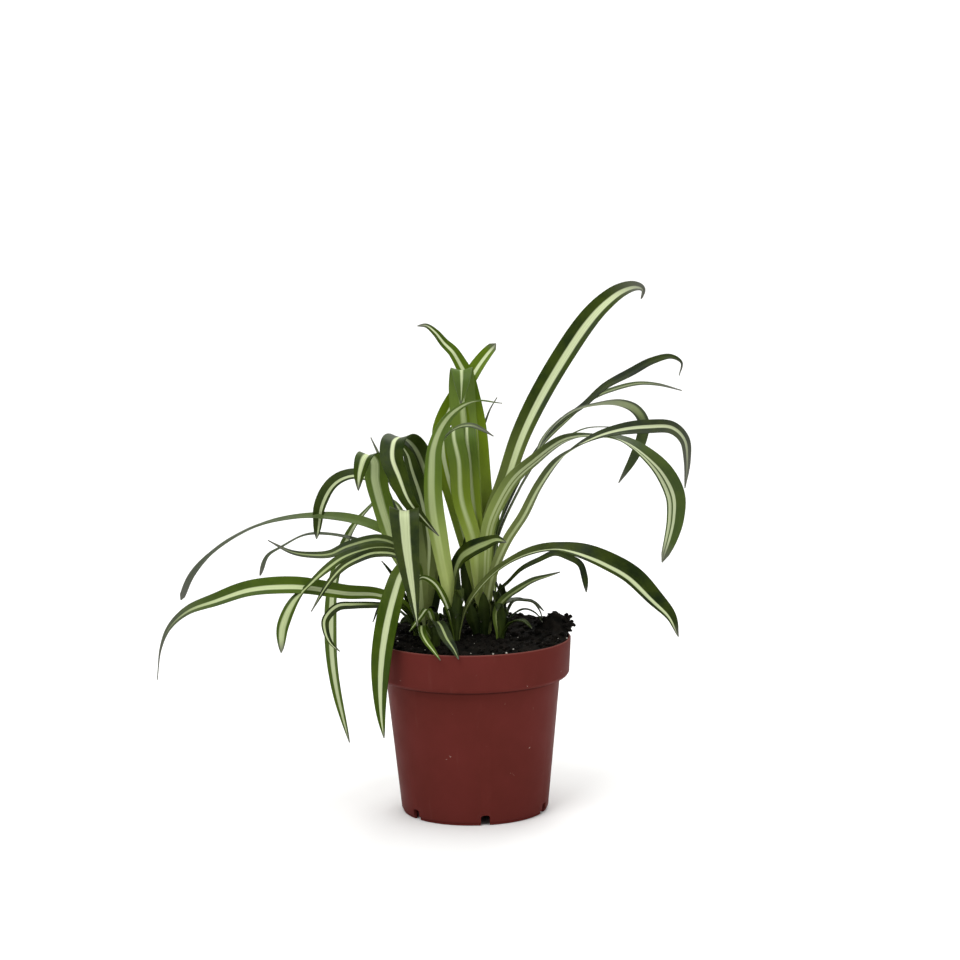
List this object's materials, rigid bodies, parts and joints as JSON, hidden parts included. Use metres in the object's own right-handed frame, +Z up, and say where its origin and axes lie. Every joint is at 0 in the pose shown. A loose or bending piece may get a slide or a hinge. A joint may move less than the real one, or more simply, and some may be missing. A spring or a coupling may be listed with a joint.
{
  "type": "potted spider plant",
  "caption": "Spider plant with arching striped strap leaves growing from close crowns in peat, in a small round nursery pot with a stepped rim.",
  "frame": {"origin": "middle of the pot's underside, on the surface it stands on", "axes": "+Z up along the pot's axis, -Y towards the front, where the lowest small leaves hang over the rim"},
  "size_m": [0.2409, 0.1525, 0.24],
  "materials": {
    "pot": "satin brown-red moulded plastic",
    "soil": "rough dark peat",
    "leaf": "satin leaf, green with a cream stripe along the middle"
  },
  "bodies": {
    "root": {"pot": "pot", "soil": "soil", "shoot_left": "leaf", "shoot_middle": "leaf", "shoot_right": "leaf", "shoot_side": "leaf", "shoot_front": "leaf"}
  },
  "joints": []
}
